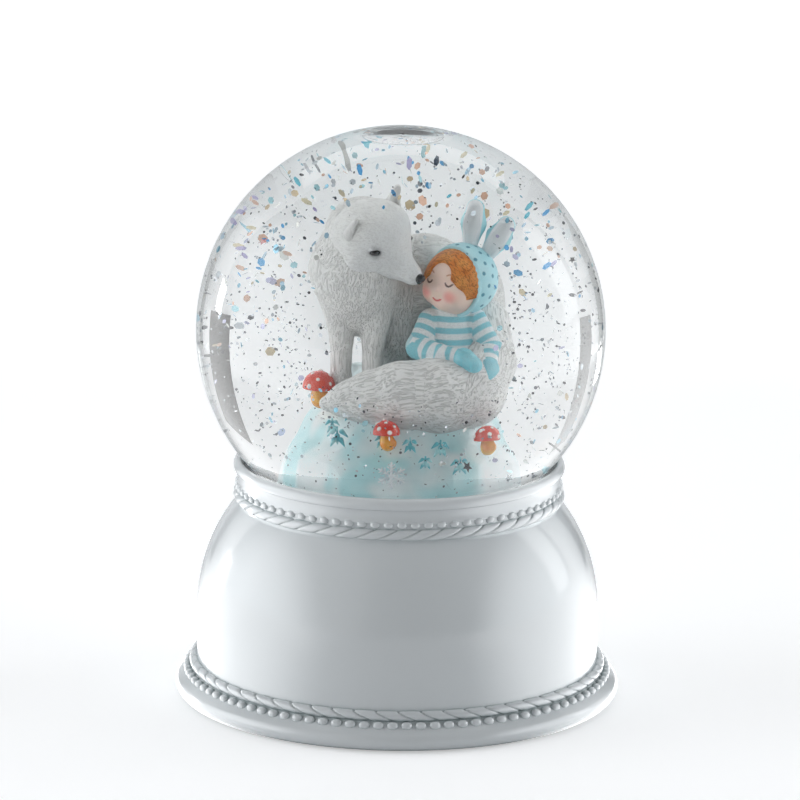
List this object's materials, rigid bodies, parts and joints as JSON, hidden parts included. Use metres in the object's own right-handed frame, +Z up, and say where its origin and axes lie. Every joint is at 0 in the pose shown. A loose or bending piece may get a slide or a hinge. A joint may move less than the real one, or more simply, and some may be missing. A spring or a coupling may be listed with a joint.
{
  "type": "snow globe",
  "caption": "Water-filled glass snow globe with a white fox and hooded child on an icy mound, on a glossy white beaded base with a battery night light and underside push button.",
  "frame": {"origin": "centre of the base on the table", "axes": "+Z up through the glass ball, -Y towards the front, +X to the viewer's right"},
  "size_m": [0.109, 0.109, 0.1406],
  "materials": {
    "white_shell": "gloss",
    "clear_glass": "polished",
    "liquid": "polished",
    "clear_rubber": "satin",
    "grey_rubber": "matte",
    "opal_plastic": "satin",
    "white_fur": "satin",
    "ice_paint": "satin",
    "skin_paint": "satin",
    "knit_paint": "satin",
    "hair_paint": "satin",
    "black_bead": "gloss",
    "red_paint": "gloss",
    "orange_paint": "satin",
    "leaf_paint": "satin",
    "glitter": "polished",
    "silver_foil": "polished",
    "steel": "satin",
    "cell_sleeve": "satin",
    "grey_button": "satin",
    "switch_plastic": "satin",
    "black_plastic": "matte",
    "green_board": "satin",
    "white_board": "satin",
    "led_lens": "gloss",
    "red_lead": "satin",
    "black_lead": "satin",
    "white_lead": "satin"
  },
  "bodies": {
    "globe": {"base_housing": "white_shell", "bottom_cover": "white_shell", "cover_screws": "steel", "foot_pads": "grey_rubber", "battery_cells": "cell_sleeve", "contact_plates": "steel", "contact_springs": "steel", "switch_body": "switch_plastic", "switch_board": "green_board", "switch_screws": "steel", "diffuser": "opal_plastic", "led_board": "white_board", "leds": "led_lens", "driver_chip": "black_plastic", "resistors": "black_plastic", "board_screws": "steel", "wire_red": "red_lead", "wire_black": "black_lead", "wire_white": "white_lead", "globe_glass": "clear_glass", "liquid": "liquid", "stopper": "clear_rubber", "seat_ring": "grey_rubber", "lip_seal": "clear_rubber", "mound": "ice_paint", "fox_body": "white_fur", "fox_head": "white_fur", "fox_ears": "white_fur", "fox_eyes": "black_bead", "fox_nose": "black_bead", "fox_tail": "white_fur", "child_body": "knit_paint", "child_head": "skin_paint", "child_hood": "knit_paint", "hood_ears": "knit_paint", "child_hair": "hair_paint", "mittens": "knit_paint", "mushroom_caps": "red_paint", "mushroom_stems": "orange_paint", "leaves": "leaf_paint", "snowflake_relief": "ice_paint", "glitter_flakes": "glitter", "glitter_stars": "silver_foil"},
    "button": {"power_button": "grey_button", "switch_plunger": "black_plastic"},
    "door": {"battery_door": "white_shell"},
    "screw_left": {"door_screw_left": "steel"},
    "screw_right": {"door_screw_right": "steel"}
  },
  "joints": [
    {"name": "power_button_press", "type": "slide", "parent": "globe", "child": "button", "axis": [0, 0, 1], "range_m": [0, 0.0018], "stiffness_N_per_m": 300, "springref_m": -0.003},
    {"name": "battery_door_lift_off", "type": "slide", "parent": "globe", "child": "door", "axis": [0, 0, -1], "range_m": [0, 0.03]},
    {"name": "door_screw_left_turn", "type": "hinge", "parent": "door", "child": "screw_left", "pos_m": [-0.03055, 0.004, 0.001], "axis": [0, 0, -1], "range_deg": [0, 1890]},
    {"name": "door_screw_right_turn", "type": "hinge", "parent": "door", "child": "screw_right", "pos_m": [0.03055, 0.004, 0.001], "axis": [0, 0, -1], "range_deg": [0, 1890]}
  ]
}
